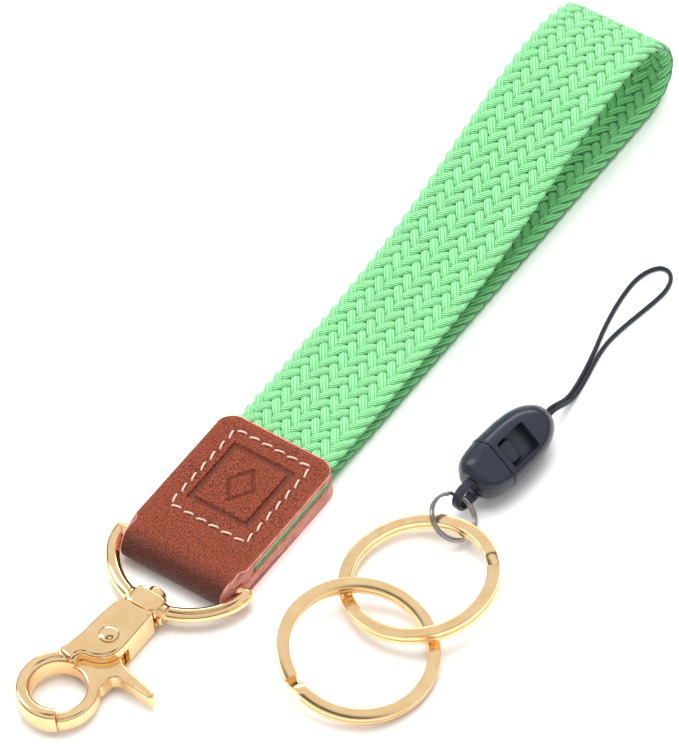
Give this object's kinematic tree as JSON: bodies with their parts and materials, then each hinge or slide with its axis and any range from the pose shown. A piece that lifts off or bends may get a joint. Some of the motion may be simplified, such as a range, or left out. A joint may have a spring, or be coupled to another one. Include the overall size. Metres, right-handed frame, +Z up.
{
  "type": "wrist lanyard",
  "caption": "Braided wrist strap on a stitched leather tab, with a D-ring, a swivelling trigger snap, linked key rings and a quick-release phone cord loop.",
  "frame": {"origin": "on the back face of the leather tab, on the strap's centre line, in the plane that the part lies on", "axes": "+Z up from the tab's back to its front, +Y along the strap towards the far end of the loop, +X across the strap towards the key rings"},
  "size_m": [0.0749, 0.2067, 0.0214],
  "materials": {
    "braid": "soft braided mint green cord",
    "leather": "pebbled brown leather, semi-gloss, with raw pinkish cut edges",
    "thread": "waxed cream sewing thread",
    "gold": "polished pale gold plating",
    "spring_steel": "plain spring wire",
    "nickel": "bright nickel wire",
    "black_plastic": "satin blue-black moulded plastic",
    "cord": "black woven phone cord"
  },
  "bodies": {
    "strap_set": {"wrist_strap": "braid", "leather_tab": "leather", "stitching": "thread"},
    "d_ring": {"d_ring": "gold"},
    "hook": {"hook_body": "gold", "swivel_post": "gold", "trigger_rivet": "gold", "trigger_spring": "spring_steel"},
    "trigger": {"hook_trigger": "gold"},
    "ring_a": {"key_ring_a": "gold"},
    "ring_b": {"key_ring_b": "gold"},
    "link": {"link_ring": "nickel"},
    "plug": {"connector_plug": "black_plastic"},
    "socket": {"connector_socket": "black_plastic", "cord_knot": "cord", "phone_cord": "cord"}
  },
  "joints": [
    {"name": "d_ring_swing", "type": "hinge", "parent": "strap_set", "child": "d_ring", "pos_m": [0, -0.0145, 0.0035], "axis": [1, 0, 0], "range_deg": [-90, 90]},
    {"name": "hook_swivel", "type": "hinge", "parent": "d_ring", "child": "hook", "pos_m": [0.0005, -0.02702, 0.0035], "axis": [0, 1, 0], "continuous": true},
    {"name": "trigger_pull", "type": "hinge", "parent": "hook", "child": "trigger", "pos_m": [0, -0.03842, 0.0035], "axis": [0, 0, 1], "range_deg": [0, 25], "stiffness_Nm_per_rad": 0.02, "springref_deg": -11.46},
    {"name": "ring_set_lift", "type": "slide", "parent": "strap_set", "child": "ring_a", "axis": [0, 0, 1], "range_m": [0, 0.06]},
    {"name": "ring_b_tip", "type": "hinge", "parent": "ring_a", "child": "ring_b", "pos_m": [0.042, -0.0036, 0.0043], "axis": [1, 0, 0], "range_deg": [-8, 8]},
    {"name": "link_swing", "type": "hinge", "parent": "ring_a", "child": "link", "pos_m": [0.03931, 0.0213, 0.0043], "axis": [0.9833, 0.1822, 0], "range_deg": [-12, 12]},
    {"name": "plug_swing", "type": "hinge", "parent": "link", "child": "plug", "pos_m": [0.03803, 0.02823, 0.0045], "axis": [0.9945, -0.1045, 0], "range_deg": [-30, 30]},
    {"name": "socket_slide", "type": "slide", "parent": "plug", "child": "socket", "axis": [0.1045, 0.9945, 0], "range_m": [0, 0.014]}
  ]
}
